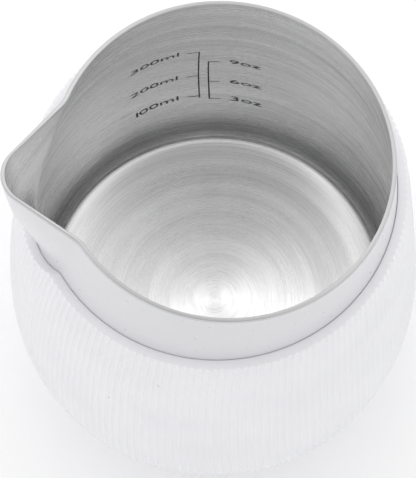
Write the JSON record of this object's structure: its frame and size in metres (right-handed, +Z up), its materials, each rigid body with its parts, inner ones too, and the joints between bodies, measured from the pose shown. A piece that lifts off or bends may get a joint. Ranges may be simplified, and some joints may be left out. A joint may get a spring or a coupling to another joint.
{
  "type": "candle melting pot",
  "caption": "Handleless steel melting and pouring pot with a pressed spout, white coated outside, in a fluted white silicone grip sleeve that pulls off.",
  "frame": {"origin": "middle of the sleeve's flat underside, on the axis of the belly", "axes": "+Z up along the belly's axis, -X towards the spout, +Y to the side that carries the printed scale"},
  "size_m": [0.0966, 0.0966, 0.1071],
  "materials": {
    "steel": "brushed round the wall, spun on the floor, satin",
    "coating": "smooth semi-gloss white coating on the outside of the pot",
    "silicone": "matte moulded silicone with fine flutes",
    "scale_ink": "dark matte marks"
  },
  "bodies": {
    "sleeve": {"silicone_sleeve": "silicone"},
    "pot": {"steel_pot": "steel"}
  },
  "joints": [
    {"name": "pot_lift", "type": "slide", "parent": "sleeve", "child": "pot", "axis": [0, 0, 1], "range_m": [0, 0.1], "deforming": ["silicone_sleeve"]}
  ]
}
